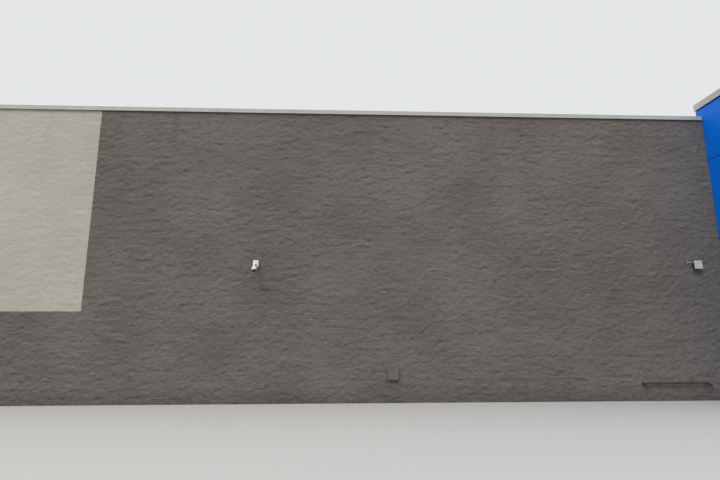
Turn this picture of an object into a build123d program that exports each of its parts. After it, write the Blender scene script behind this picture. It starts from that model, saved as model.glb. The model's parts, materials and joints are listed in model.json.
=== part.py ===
from build123d import *
from math import atan2, cos, degrees, pi, radians, sin, tan
import os

# A single-storey supermarket building in block masonry, at full size, in millimetres.
# X runs along the front to the right, Y into the building and Z up.
# The origin lies on the ground at the middle of the whole outline.

# Block masonry
course_height = 203.2
wall_thickness = 203.2
wall_course_count = 41
base_course_count = 12
entrance_course_count = 15

# Stretches of the front, left to right, and the depth from front face to back face
light_stretch = 8940.0
grey_stretch = 18150.0
portal_width = 12000.0
building_depth = 26000.0

# Folded metal copings
coping_overhang = 25.0
coping_clearance = 3.0
coping_lip = 40.0
coping_rise = 83.0
coping_fall = 14.0
drip_reach = 8.0
drip_height = 12.0

# Blue entrance portal in front of the main wall
portal_projection = 3000.0
portal_above_wall = 400.8
portal_coping_rise = 161.0
portal_soffit_height = 3200.0
portal_soffit_thickness = 60.0
portal_roof_below_wall = 131.2
portal_joint_below_wall = 1361.2
portal_joint_width = 24.0
portal_joint_depth = 16.0
portal_gap_height = 40.0
portal_gap_depth = 45.0
fascia_panels = 4

# Floors
floor_thickness = 100.0
ramp_run = 1200.0
ramp_nosing = 15.0

# Roof
parapet_height = 831.2
roof_fall_ratio = 0.02
roof_thickness = 150.0
joist_lines = 11
joist_depth = 700.0
joist_seat_depth = 130.0
joist_seat_length = 120.0
joist_end_gap = 20.0
chord_height = 65.0
chord_width = 130.0
web_bar = 42.0
bottom_joints = 7
end_panel = 900.0
ledger_leg = 120.0
ledger_plate = 12.0
girder_depth = 600.0
girder_width = 260.0
girder_flange = 22.0
girder_web = 14.0
column_count = 3
column_side = 200.0
column_plate_wall = 12.0
base_plate_side = 400.0
base_plate_thickness = 25.0
cap_plate_side = 250.0
cap_plate_thickness = 20.0

# Glazed entrance
entrance_width = 8000.0
glazing_bays = 4
frame_setback = 45.0
frame_depth = 120.0
frame_face = 60.0
bottom_rail = 100.0
door_opening = 2000.0
door_height = 2250.0
header_height = 180.0
header_depth = 170.0
leaf_depth = 50.0
leaf_stile = 55.0
leaf_clearance = 8.0
glass_thickness = 24.0

# Goods doorway in the back wall, closed by a slatted shutter on its inner side
goods_width = 2844.8
goods_from_left = 12400.0
slat_pitch = 100.0
slat_thickness = 10.0
slat_swell = 14.0
slat_rise = 25.0
guide_width = 100.0
guide_depth = 90.0
guide_wall = 8.0
shutter_lap = 60.0
shutter_hood_side = 380.0
shutter_end_gap = 6.0

# Rainwater outlets on the back wall
outlet_count = 4
outlet_width = 300.0
outlet_height = 120.0
outlet_wall = 4.0
hopper_width = 360.0
hopper_depth = 240.0
hopper_rim = 160.0
hopper_taper = 220.0
pipe_width = 120.0
pipe_depth = 90.0
pipe_gap = 25.0
shoe_height = 150.0
shoe_turn = 150.0
shoe_reach = 90.0
strap_height = 40.0
strap_count = 3
strap_lap = 35.0
strap_thickness = 6.0

# Round bars and bowls are built with flat sides, and their bends in straight steps
bar_sides = 12
bowl_sides = 24
bend_steps = 4

# Security camera on the grey stretch, measured from the edge of the light paint
camera_from_light = 4660.0
camera_height = 3757.0
camera_box_width = 152.0
camera_box_height = 195.0
camera_box_depth = 55.0
camera_box_corner = 12.0
camera_reach = 300.0
camera_arm_radius = 34.0
camera_arm_drop = 32.0
camera_bend_radius = 60.0
camera_flange_radius = 48.0
camera_flange_depth = 12.0
camera_bell_radius = 72.5
camera_bell_drop = 205.0
camera_bell_height = 77.0
camera_bell_shoulder = 24.0
camera_bell_rim = 8.0
camera_bell_recess = 8.0
camera_dome_radius = 52.0
camera_dome_drop = 66.0
camera_dome_steps = 5

# Wall light on the grey stretch, measured from the blue portal
light_from_portal = 811.0
light_top = 3894.0
light_width = 228.0
light_casting_depth = 88.0
light_casting_inset = 3.0
light_cover_height = 115.0
light_cover_depth = 12.0
light_diffuser_height = 132.0
light_diffuser_depth = 27.0
light_diffuser_slope = 8.0
conduit_radius = 12.0
conduit_run = 160.0
conduit_from_wall = 45.0
conduit_below_top = 52.0
conduit_nut_radius = 19.0
conduit_nut_length = 20.0
conduit_nut_sides = 6
conduit_clip_height = 40.0
conduit_clip_width = 20.0

# Service hatch box low on the grey stretch
hatch_from_light = 8465.0
hatch_height = 749.5
hatch_width = 304.0
hatch_tall = 317.0
hatch_depth = 62.0
hatch_lid_margin = 16.0
hatch_lid_proud = 10.0
hatch_hinge_radius = 7.0

# Low rail beside the portal
rail_from_portal = 1885.0
rail_height = 484.0
rail_length = 1840.0
rail_bar = 44.0
rail_standoff = 50.0
rail_arm_reach = 210.0
rail_arm_down = 75.0
rail_arm_height = 70.0
rail_arm_thickness = 12.0
rail_foot_width = 40.0
rail_foot_drop = 60.0
rail_stub = 24.0
rail_plate_width = 50.0
rail_plate_height = 50.0
rail_plate_thickness = 10.0
rail_brackets = 3

# Levels and lines that follow from the sizes above
wall_top = wall_course_count * course_height
base_top = base_course_count * course_height
entrance_head = entrance_course_count * course_height
portal_wall_height = wall_top + portal_above_wall
portal_roof_height = wall_top - portal_roof_below_wall
portal_joint_height = wall_top - portal_joint_below_wall
roof_height = wall_top - parapet_height
building_width = light_stretch + grey_stretch + portal_width
left_x = -building_width / 2
right_x = building_width / 2
grey_left = left_x + light_stretch
portal_left = grey_left + grey_stretch
inner_left = left_x + wall_thickness
inner_right = right_x - wall_thickness
portal_inner_left = portal_left + wall_thickness
portal_mid = (portal_inner_left + inner_right) / 2
coping_reach = coping_overhang + drip_reach
front_y = (portal_projection + coping_reach - building_depth - hopper_depth) / 2
inner_front = front_y + wall_thickness
back_y = front_y + building_depth
inner_back = back_y - wall_thickness
portal_front = front_y - portal_projection
fascia_back = portal_front + wall_thickness
entrance_left = portal_mid - entrance_width / 2
entrance_right = portal_mid + entrance_width / 2
goods_left = left_x + goods_from_left
goods_right = goods_left + goods_width
girder_y = (inner_front + inner_back) / 2


def slab(x0, x1, y0, y1, z0, z1):
    """A rectangular block between two opposite corners."""
    middle = Pos((x0 + x1) / 2, (y0 + y1) / 2, (z0 + z1) / 2)
    return middle * Box(x1 - x0, y1 - y0, z1 - z0)


def side_profile(points, x0, x1):
    """A prism whose outline is drawn in Y and Z, running from x0 to x1."""
    outline = Plane.YZ * make_face(Polyline(*points, close=True))
    return Pos(x0, 0, 0) * extrude(outline, amount=x1 - x0)


def front_profile(points, y0, y1):
    """A prism whose outline is drawn in X and Z, running from y0 to y1."""
    outline = Plane.XZ * make_face(Polyline(*points, close=True))
    return Pos(0, y1, 0) * extrude(outline, amount=y1 - y0)


def stacked(rings, x, y):
    """A bowl or bell on the upright line at x and y, drawn in radius and Z from its widest ring on."""
    flat = cos(pi / bowl_sides)
    shape = None
    for (wide, z0), (narrow, z1) in zip(rings, rings[1:]):
        height = abs(z1 - z0)
        lean = degrees(atan2((wide - narrow) * flat, height))
        ring = extrude(RegularPolygon(wide, bowl_sides), amount=height, taper=lean)
        ring = Pos(x, y, z0) * Rot(0 if z1 > z0 else 180, 0, 0) * ring
        shape = shape + ring if shape else ring
    return shape


def rod(start, way, length, radius, sides):
    """A straight bar from a start point along a direction, with that many flat sides."""
    return extrude(Plane(origin=start, z_dir=way) * RegularPolygon(radius, sides), amount=length)


def bent_bar(corners, bend_radius, bar_radius):
    """A round bar along a line of corners, each of them rounded in short straight steps."""
    points = [Vector(*corners[0])]
    for before, corner, after in zip(corners, corners[1:], corners[2:]):
        corner = Vector(*corner)
        back = (Vector(*before) - corner).normalized()
        ahead = (Vector(*after) - corner).normalized()
        half = radians(back.get_angle(ahead)) / 2
        centre = corner + (back + ahead).normalized() * (bend_radius / sin(half))
        first = corner + back * (bend_radius / tan(half)) - centre
        last = corner + ahead * (bend_radius / tan(half)) - centre
        turn = pi - 2 * half
        for n in range(bend_steps + 1):
            done = turn * n / bend_steps
            points.append(centre + (first * sin(turn - done) + last * sin(done)) * (1 / sin(turn)))
    points.append(Vector(*corners[-1]))
    start = Plane(origin=points[0], z_dir=points[1] - points[0])
    return sweep(start * RegularPolygon(bar_radius, bar_sides), path=Polyline(*points),
                 transition=Transition.RIGHT)


def evenly(start, end, count):
    """Middles of count equal spacings between two ends, with no copy at the ends."""
    step = (end - start) / (count + 1)
    return [start + step * (n + 1) for n in range(count)]


def save(node, shapes):
    """Write one named piece, or the separate solids of one kind, to its own file."""
    shape = Compound(children=list(shapes)) if isinstance(shapes, (list, tuple)) else shapes
    shape.label = node
    export_step(shape, f"parts/{node}.step")


# Walls

def walls():
    """Block walls, split where the paint changes and beside and over each doorway."""
    front = (front_y, inner_front)
    sides = (inner_front, inner_back)
    back = (inner_back, back_y)
    save("front_wall_base", slab(left_x, grey_left, *front, 0, base_top))
    save("front_wall_light", slab(left_x, grey_left, *front, base_top, wall_top))
    save("front_wall_grey", slab(grey_left, portal_left, *front, 0, wall_top))
    save("entrance_wall_left", slab(portal_inner_left, entrance_left, *front, 0, entrance_head))
    save("entrance_wall_right", slab(entrance_right, inner_right, *front, 0, entrance_head))
    save("entrance_wall_over",
         slab(portal_inner_left, inner_right, *front, entrance_head, portal_wall_height))
    save("left_wall_base", slab(left_x, inner_left, *sides, 0, base_top))
    save("left_wall_light", slab(left_x, inner_left, *sides, base_top, wall_top))
    save("right_wall_base", slab(inner_right, right_x, *sides, 0, base_top))
    save("right_wall_light", slab(inner_right, right_x, *sides, base_top, wall_top))
    save("back_wall_base_left", slab(left_x, goods_left, *back, 0, base_top))
    save("back_wall_base_right", slab(goods_right, right_x, *back, 0, base_top))
    upper = slab(left_x, right_x, *back, base_top, wall_top)
    for x in outlet_places():
        upper -= slab(x - outlet_width / 2, x + outlet_width / 2, *back,
                      outlet_sill, outlet_sill + outlet_height)
    save("back_wall_light", upper)


# Floors

def floors():
    """The hall's slab with its tongue in the goods doorway, and the portal's ramped floor."""
    hall = slab(inner_left, inner_right, inner_front, inner_back, 0, floor_thickness)
    hall += slab(goods_left, goods_right, inner_back, back_y, 0, floor_thickness)
    save("floor_slab", hall)
    ramp_outline = [
        (portal_front, 0),
        (front_y, 0),
        (front_y, floor_thickness),
        (portal_front + ramp_run, floor_thickness),
        (portal_front, ramp_nosing),
    ]
    ramp = side_profile(ramp_outline, portal_inner_left, inner_right)
    ramp += slab(entrance_left, entrance_right, front_y, inner_front, 0, floor_thickness)
    save("entrance_floor", ramp)


# Roof structure

def deck_top(y):
    """Height of the roof's upper face, which falls towards the back wall."""
    return roof_height - (y - inner_front) * roof_fall_ratio


def deck_under(y):
    """Height of the roof's lower face, on which the joists' top chords lie."""
    return deck_top(y) - roof_thickness


outlet_sill = deck_top(inner_back)
ledger_front_top = deck_under(inner_front) - joist_seat_depth
ledger_back_top = deck_under(inner_back) - joist_seat_depth
girder_top = deck_under(girder_y) - joist_seat_depth
girder_bottom = girder_top - girder_depth


def chord(y0, y1, drop):
    """Outline of a chord that runs with the roof's slope, drop below the deck."""
    return [
        (y0, deck_under(y0) - drop),
        (y1, deck_under(y1) - drop),
        (y1, deck_under(y1) - drop - chord_height),
        (y0, deck_under(y0) - drop - chord_height),
    ]


def web(start, end):
    """Outline of one web bar between two points of the chords' middle lines."""
    run = Vector(end[0] - start[0], end[1] - start[1])
    side = run.normalized().rotate(Axis.Z, 90) * (web_bar / 2)
    a = Vector(*start)
    b = Vector(*end)
    corners = [a + side, b + side, b - side, a - side]
    return [(corner.X, corner.Y) for corner in corners]


def joist(y0, y1, seat_front, seat_back):
    """Open-web joist: sloping chords, zigzag web bars and a level seat at each end."""
    half = chord_width / 2
    bottom_drop = joist_depth - chord_height
    b0 = y0 + end_panel
    b1 = y1 - end_panel
    shape = side_profile(chord(y0, y1, 0), -half, half)
    shape += side_profile(chord(b0 - web_bar, b1 + web_bar, bottom_drop), -half, half)
    for y, seat in ((y0, seat_front), (y1 - joist_seat_length, seat_back)):
        ends = (y, y + joist_seat_length)
        seat_outline = [(ends[0], seat), (ends[1], seat)]
        seat_outline += [(ends[1], deck_under(ends[1]) - chord_height / 2)]
        seat_outline += [(ends[0], deck_under(ends[0]) - chord_height / 2)]
        shape += side_profile(seat_outline, -half, half)
    step = (b1 - b0) / (bottom_joints - 1)
    lower = [b0 + step * n for n in range(bottom_joints)]
    upper = [y0 + joist_seat_length / 2]
    upper += [y + step / 2 for y in lower[:-1]]
    upper += [y1 - joist_seat_length / 2]
    for n, y in enumerate(lower):
        foot = (y, deck_under(y) - bottom_drop - chord_height / 2)
        for top_y in (upper[n], upper[n + 1]):
            head = (top_y, deck_under(top_y) - chord_height / 2)
            shape += side_profile(web(foot, head), -web_bar / 2, web_bar / 2)
    return shape


def ledger(wall_face, inward, top):
    """Steel angle along a wall's inner face, with its level leg on top of the standing one."""
    return side_profile(
        [
            (wall_face, top),
            (wall_face + inward * ledger_leg, top),
            (wall_face + inward * ledger_leg, top - ledger_plate),
            (wall_face + inward * ledger_plate, top - ledger_plate),
            (wall_face + inward * ledger_plate, top - ledger_leg),
            (wall_face, top - ledger_leg),
        ],
        inner_left,
        inner_right,
    )


def girder():
    """I-section girder across the middle of the hall, under the joists' inner seats."""
    flange = girder_width / 2
    web_half = girder_web / 2
    flange_under = girder_top - girder_flange
    flange_over = girder_bottom + girder_flange
    right_half = [
        (flange, girder_top),
        (flange, flange_under),
        (web_half, flange_under),
        (web_half, flange_over),
        (flange, flange_over),
        (flange, girder_bottom),
    ]
    outline = [(girder_y + u, z) for u, z in right_half]
    outline += [(girder_y - u, z) for u, z in reversed(right_half)]
    return side_profile(outline, inner_left, inner_right)


def column(x):
    """Hollow square steel column with a base plate on the floor and a cap under the girder."""
    half = column_side / 2
    bore = half - column_plate_wall
    base = base_plate_side / 2
    cap = cap_plate_side / 2
    foot = floor_thickness + base_plate_thickness
    head = girder_bottom - cap_plate_thickness
    shape = slab(x - half, x + half, girder_y - half, girder_y + half, foot, head)
    shape -= slab(x - bore, x + bore, girder_y - bore, girder_y + bore, foot, head)
    shape += slab(x - base, x + base, girder_y - base, girder_y + base, floor_thickness, foot)
    shape += slab(x - cap, x + cap, girder_y - cap, girder_y + cap, head, girder_bottom)
    return shape


def roof():
    """Sloping deck inside the parapets, on joists, ledgers, a girder and columns."""
    deck = [
        (inner_front, deck_under(inner_front)),
        (inner_back, deck_under(inner_back)),
        (inner_back, deck_top(inner_back)),
        (inner_front, deck_top(inner_front)),
    ]
    save("roof_deck", side_profile(deck, inner_left, inner_right))
    joist_x = evenly(inner_left, inner_right, joist_lines)
    near = joist(inner_front + joist_end_gap, girder_y - joist_end_gap / 2,
                 ledger_front_top, girder_top)
    far = joist(girder_y + joist_end_gap / 2, inner_back - joist_end_gap,
                girder_top, ledger_back_top)
    save("roof_joists_front", [Pos(x, 0, 0) * near for x in joist_x])
    save("roof_joists_back", [Pos(x, 0, 0) * far for x in joist_x])
    save("roof_ledgers", [ledger(inner_front, 1, ledger_front_top),
                          ledger(inner_back, -1, ledger_back_top)])
    save("roof_girder", girder())
    save("roof_columns", [column(x) for x in evenly(inner_left, inner_right, column_count)])


# Copings

coping_width = wall_thickness + 2 * coping_overhang


def coping_section(top, rise):
    """Across a coping: a folded cap over its packing, with lips and drips on both sides.

    The outer face stands at zero, and the wall lies between the two lips.
    """
    lip = coping_overhang - coping_clearance
    foot = top - coping_lip
    drip = foot + drip_height
    far = coping_width
    return [
        (0, top + rise),
        (0, drip),
        (-drip_reach, foot),
        (lip, foot),
        (lip, top),
        (far - lip, top),
        (far - lip, foot),
        (far + drip_reach, foot),
        (far, drip),
        (far, top + rise - coping_fall),
    ]


def coping_run(corner, turn, length, top, rise, mitres):
    """One straight coping from a corner of the outline, mitred at the ends that turn."""
    section = side_profile(coping_section(top, rise), -drip_reach, length + drip_reach)
    reach = drip_reach
    depth = coping_width + drip_reach
    start_near, start_far = (-reach, depth) if mitres[0] else (0, 0)
    end_near, end_far = (length + reach, length - depth) if mitres[1] else (length, length)
    plan = make_face(Polyline((start_near, -reach), (end_near, -reach), (end_far, depth),
                              (start_far, depth), close=True))
    cutter = Pos(0, 0, top - coping_lip) * extrude(plan, amount=coping_lip + rise)
    return Pos(*corner, 0) * Rot(0, 0, turn) * (section & cutter)


def copings():
    """Off-white copings on the main walls and, higher, round the top of the portal."""
    over = coping_overhang
    main = (wall_top, coping_rise)
    save("coping_front", coping_run((left_x - over, front_y - over), 0,
                                    portal_left - left_x + over, *main, (True, False)))
    save("coping_right", coping_run((right_x + over, inner_front), 90,
                                    back_y - inner_front + over, *main, (False, True)))
    save("coping_back", coping_run((right_x + over, back_y + over), 180,
                                   building_width + 2 * over, *main, (True, True)))
    save("coping_left", coping_run((left_x - over, back_y + over), 270,
                                   building_depth + 2 * over, *main, (True, True)))
    high = (portal_wall_height, portal_coping_rise)
    across = portal_width + 2 * over
    along = inner_front - portal_front + 2 * over
    both = (True, True)
    save("portal_coping_front",
         coping_run((portal_left - over, portal_front - over), 0, across, *high, both))
    save("portal_coping_right",
         coping_run((right_x + over, portal_front - over), 90, along, *high, both))
    save("portal_coping_back",
         coping_run((right_x + over, inner_front + over), 180, across, *high, both))
    save("portal_coping_left",
         coping_run((portal_left - over, inner_front + over), 270, along, *high, both))


# Entrance portal

def portal():
    """Smooth clad side walls and fascia with recessed joints and a gap under the coping's lip,
    a soffit and a flat roof.
    """
    joint = (portal_joint_height - portal_joint_width / 2,
             portal_joint_height + portal_joint_width / 2)
    deep = portal_joint_depth
    grooves = slab(portal_left, right_x, portal_front, inner_front, *joint)
    grooves -= slab(portal_left + deep, right_x - deep, portal_front + deep, inner_front, *joint)
    for n in range(fascia_panels + 1):
        x = portal_inner_left + (inner_right - portal_inner_left) * n / fascia_panels
        grooves += slab(x - portal_joint_width / 2, x + portal_joint_width / 2,
                        portal_front, portal_front + deep,
                        portal_soffit_height, portal_wall_height)
    lip_foot = portal_wall_height - coping_lip
    gap = (lip_foot - portal_gap_height, lip_foot + portal_gap_height / 2)
    gap_ring = slab(portal_left, right_x, portal_front, inner_front, *gap)
    gap_ring -= slab(portal_left + portal_gap_depth, right_x - portal_gap_depth,
                     portal_front + portal_gap_depth, inner_front, *gap)
    grooves += gap_ring
    depth = (portal_front, inner_front)
    left = slab(portal_left, portal_inner_left, *depth, 0, portal_wall_height)
    right = slab(inner_right, right_x, *depth, 0, portal_wall_height)
    fascia = slab(portal_inner_left, inner_right, portal_front, fascia_back,
                  portal_soffit_height, portal_wall_height)
    save("portal_wall_left", left - grooves)
    save("portal_wall_right", right - grooves)
    save("portal_fascia", fascia - grooves)
    inside = (portal_inner_left, inner_right, fascia_back, front_y)
    save("portal_soffit", slab(*inside, portal_soffit_height,
                               portal_soffit_height + portal_soffit_thickness))
    save("portal_roof", slab(*inside, portal_roof_height - roof_thickness, portal_roof_height))


# Glazed entrance

def entrance():
    """Aluminium frame with fixed glass, a door header and two sliding leaves."""
    y0 = front_y + frame_setback
    y1 = y0 + frame_depth
    pane_y = (y0 + frame_depth / 2 - glass_thickness / 2,
              y0 + frame_depth / 2 + glass_thickness / 2)
    sill = floor_thickness
    door_top = sill + door_height
    header_top = door_top + header_height
    bay = entrance_width / glazing_bays
    half = frame_face / 2
    posts = [entrance_left + half, entrance_right - half]
    posts += [entrance_left + bay * n for n in range(1, glazing_bays)]
    posts = [x for x in posts if abs(x - portal_mid) > door_opening / 2]
    posts += [portal_mid - door_opening / 2 - half, portal_mid + door_opening / 2 + half]
    posts.sort()
    frame = slab(entrance_left, entrance_right, y0, y1, entrance_head - frame_face, entrance_head)
    frame += slab(entrance_left, entrance_right, y0, y1, door_top, header_top)
    panes = []
    for x in posts:
        frame += slab(x - half, x + half, y0, y1, sill, entrance_head)
    for a, b in zip(posts, posts[1:]):
        x0 = a + half
        x1 = b - half
        panes.append(slab(x0, x1, *pane_y, header_top, entrance_head - frame_face))
        if a < portal_mid < b:
            continue
        frame += slab(x0, x1, y0, y1, sill, sill + bottom_rail)
        panes.append(slab(x0, x1, *pane_y, sill + bottom_rail, door_top))
    save("entrance_frame", frame)
    save("door_header", slab(portal_mid - door_opening, portal_mid + door_opening,
                             y1, y1 + header_depth, door_top, header_top))
    leaf_y = (y1 + leaf_clearance, y1 + leaf_clearance + leaf_depth)
    glass_y = (leaf_y[0] + leaf_depth / 2 - glass_thickness / 2,
               leaf_y[0] + leaf_depth / 2 + glass_thickness / 2)
    leaves = []
    for side in (-1, 1):
        ends = sorted([portal_mid + side * leaf_clearance / 2,
                       portal_mid + side * (door_opening / 2 + frame_face)])
        hole = (ends[0] + leaf_stile, ends[1] - leaf_stile)
        rails = (sill + leaf_clearance + bottom_rail, door_top - leaf_stile)
        leaf = slab(*ends, *leaf_y, sill + leaf_clearance, door_top)
        leaf -= slab(*hole, *leaf_y, *rails)
        leaves.append(leaf)
        panes.append(slab(*hole, *glass_y, *rails))
    save("sliding_doors", leaves)
    save("entrance_glass", panes)


# Goods doorway

def goods_door():
    """Slatted shutter hanging in two channels under its hood, inside the back wall."""
    x0 = goods_left - shutter_lap
    x1 = goods_right + shutter_lap
    face = inner_back - guide_depth / 2
    hood_bottom = base_top
    count = round((hood_bottom - floor_thickness) / slat_pitch)
    pitch = (hood_bottom - floor_thickness) / count
    outer = []
    inner = []
    for n in range(count):
        z = floor_thickness + pitch * n
        for step, swell in ((0, 0), (slat_rise, slat_swell), (pitch - slat_rise, slat_swell)):
            outer.append((face + swell, z + step))
            inner.append((face + swell - slat_thickness, z + step))
    outer.append((face, hood_bottom))
    inner.append((face - slat_thickness, hood_bottom))
    curtain = side_profile(outer + inner[::-1], x0 + shutter_end_gap, x1 - shutter_end_gap)
    save("goods_shutter", curtain)
    frame = slab(x0 - guide_width, x1 + guide_width, inner_back - shutter_hood_side, inner_back,
                 hood_bottom, hood_bottom + shutter_hood_side)
    for outside, inward in ((x0 - guide_width, 1), (x1 + guide_width, -1)):
        ends = sorted([outside, outside + inward * (guide_width + shutter_lap / 2)])
        channel = slab(*ends, inner_back - guide_depth, inner_back, floor_thickness, hood_bottom)
        slot = sorted([ends[0] + guide_wall if inward == 1 else ends[1] - guide_wall,
                       outside + inward * (guide_width + shutter_lap)])
        channel -= slab(*slot, inner_back - guide_depth + guide_wall, inner_back - guide_wall,
                        floor_thickness, hood_bottom)
        frame += channel
    save("goods_shutter_frame", frame)


# Rainwater outlets

def outlet_places():
    """Places of the outlets along the back wall."""
    return evenly(left_x, right_x, outlet_count)


def outlet(x):
    """Duct through the wall at roof level, closed hopper, pipe with straps and a turned shoe."""
    half = outlet_width / 2
    lining = outlet_wall
    duct = slab(x - half, x + half, inner_back, back_y, outlet_sill, outlet_sill + outlet_height)
    duct -= slab(x - half + lining, x + half - lining, inner_back, back_y,
                 outlet_sill + lining, outlet_sill + outlet_height - lining)
    rim_bottom = outlet_sill + outlet_height - hopper_rim
    taper_bottom = rim_bottom - hopper_taper
    pipe_back = back_y + pipe_gap
    pipe_front = pipe_back + pipe_depth
    turn_height = shoe_height + shoe_turn
    hopper = (x - hopper_width / 2, x + hopper_width / 2)
    shape = duct + slab(*hopper, back_y, back_y + hopper_depth,
                        rim_bottom, outlet_sill + outlet_height)
    funnel_side = [
        (pipe_back, taper_bottom),
        (pipe_front, taper_bottom),
        (back_y + hopper_depth, rim_bottom),
        (back_y, rim_bottom),
    ]
    funnel_front = [
        (x - pipe_width / 2, taper_bottom),
        (x + pipe_width / 2, taper_bottom),
        (hopper[1], rim_bottom),
        (hopper[0], rim_bottom),
    ]
    shape += side_profile(funnel_side, *hopper) & front_profile(
        funnel_front, back_y, back_y + hopper_depth)
    pipe = [
        (pipe_back, taper_bottom),
        (pipe_front, taper_bottom),
        (pipe_front, turn_height),
        (pipe_front + shoe_reach, shoe_height),
        (pipe_back + shoe_reach, shoe_height - pipe_depth / 2),
        (pipe_back, turn_height - pipe_depth / 2),
    ]
    shape += side_profile(pipe, x - pipe_width / 2, x + pipe_width / 2)
    grip = pipe_width / 2 + strap_thickness
    for z in evenly(turn_height, taper_bottom, strap_count):
        z0 = z - strap_height / 2
        z1 = z + strap_height / 2
        shape += slab(x - grip, x + grip, back_y, pipe_front + strap_thickness, z0, z1)
        shape += slab(x - grip - strap_lap, x + grip + strap_lap, back_y,
                      back_y + strap_thickness, z0, z1)
    return shape


def rainwater():
    """All outlets with their pipes."""
    save("downspouts", [outlet(x) for x in outlet_places()])


# Wall fittings on the grey stretch

def security_camera():
    """Junction box, arm that bends down to a bell, and the dark dome under the bell."""
    x = grey_left + camera_from_light
    face = front_y - camera_box_depth
    box = slab(x - camera_box_width / 2, x + camera_box_width / 2, face, front_y,
               camera_height - camera_box_height / 2, camera_height + camera_box_height / 2)
    box = fillet(box.edges().filter_by(Axis.Y), camera_box_corner)
    save("camera_box", box)
    y = front_y - camera_reach
    arm_z = camera_height - camera_arm_drop
    foot = camera_height - camera_bell_drop
    top = foot + camera_bell_height
    seat = foot + camera_bell_recess
    inside = camera_bell_radius - camera_bell_rim
    shoulder = top - camera_bell_shoulder
    neck = camera_bell_radius - camera_bell_shoulder
    bell = stacked([(camera_bell_radius, foot), (camera_bell_radius, shoulder), (neck, top)], x, y)
    bell -= stacked([(inside, foot), (inside, seat)], x, y)
    arm = bent_bar([(x, face, arm_z), (x, y, arm_z), (x, y, shoulder)],
                   camera_bend_radius, camera_arm_radius)
    flange = rod((x, face, arm_z), (0, -1, 0), camera_flange_depth, camera_flange_radius, bowl_sides)
    save("camera_housing", bell + arm + flange)
    rim = foot - camera_dome_drop + camera_dome_radius
    rings = [(camera_dome_radius, seat)]
    for n in range(camera_dome_steps):
        angle = pi / 2 * n / camera_dome_steps
        rings.append((camera_dome_radius * cos(angle), rim - camera_dome_radius * sin(angle)))
    save("camera_dome", stacked(rings, x, y))


def wall_light():
    """Dark casting on the wall with a cover and a deeper diffuser on its face, fed by a conduit."""
    x = portal_left - light_from_portal
    half = light_width / 2
    seam = light_top - light_cover_height
    foot = seam - light_diffuser_height
    face = front_y - light_casting_depth
    side = half - light_casting_inset
    save("wall_light_housing", slab(x - side, x + side, face, front_y, foot + light_casting_inset,
                                    light_top - light_casting_inset))
    save("wall_light_cover", slab(x - half, x + half, face - light_cover_depth, face, seam, light_top))
    front = face - light_diffuser_depth
    outline = [(face, seam), (front, seam), (front + light_diffuser_slope, foot), (face, foot)]
    save("wall_light_diffuser", side_profile(outline, x - half, x + half))
    start = x - side
    end = start - conduit_run
    height = light_top - conduit_below_top
    line = front_y - conduit_from_wall
    away = (-1, 0, 0)
    pipe = rod((start, line, height), away, conduit_run, conduit_radius, bar_sides)
    pipe += rod((start, line, height), away, conduit_nut_length, conduit_nut_radius, conduit_nut_sides)
    pipe += slab(end, end + conduit_clip_width, line, front_y, height - conduit_clip_height / 2,
                 height + conduit_clip_height / 2)
    save("wall_light_conduit", pipe)


def wall_hatch():
    """Shallow box with a raised lid and a hinge barrel along the lid's top edge."""
    x = grey_left + hatch_from_light
    half = hatch_width / 2
    low = hatch_height - hatch_tall / 2
    high = hatch_height + hatch_tall / 2
    face = front_y - hatch_depth + hatch_lid_proud
    lid_half = half - hatch_lid_margin
    box = slab(x - half, x + half, face, front_y, low, high)
    box += slab(x - lid_half, x + lid_half, front_y - hatch_depth, face,
                low + hatch_lid_margin, high - hatch_lid_margin)
    barrel = rod((x - lid_half, face, high - hatch_lid_margin), (1, 0, 0), 2 * lid_half,
                 hatch_hinge_radius, bar_sides)
    save("wall_hatch", box + barrel)


def wall_rail():
    """Low bar on brackets between two flat arms, which slope outward and down to a short foot."""
    x = portal_left - rail_from_portal
    half = rail_length / 2
    line_y = front_y - rail_standoff
    bar = rod((x - half, line_y, rail_height), (1, 0, 0), rail_length, rail_bar / 2, bar_sides)
    tip_y = front_y - rail_arm_reach
    over = rail_height + rail_arm_height / 2
    under = rail_height - rail_arm_height / 2
    foot = under - rail_arm_down - rail_foot_drop
    rise = rail_arm_down * rail_foot_width / rail_arm_reach
    outline = [
        (front_y, over),
        (tip_y, over - rail_arm_down),
        (tip_y, foot),
        (tip_y + rail_foot_width, foot),
        (tip_y + rail_foot_width, under - rail_arm_down + rise),
        (front_y, under),
    ]
    for start in (x - half, x + half - rail_arm_thickness):
        bar += side_profile(outline, start, start + rail_arm_thickness)
    stub = rail_stub / 2
    for bracket_x in evenly(x - half, x + half, rail_brackets):
        bar += slab(bracket_x - stub, bracket_x + stub, line_y, front_y,
                    rail_height - stub, rail_height + stub)
        bar += slab(bracket_x - rail_plate_width / 2, bracket_x + rail_plate_width / 2,
                    front_y - rail_plate_thickness, front_y,
                    rail_height - rail_plate_height / 2, rail_height + rail_plate_height / 2)
    save("wall_rail", bar)


os.makedirs("parts", exist_ok=True)
walls()
floors()
roof()
copings()
portal()
entrance()
goods_door()
rainwater()
security_camera()
wall_light()
wall_hatch()
wall_rail()
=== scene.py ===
import json
import math

import bmesh
import bpy
import numpy as np
from mathutils import Matrix, Vector


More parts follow.
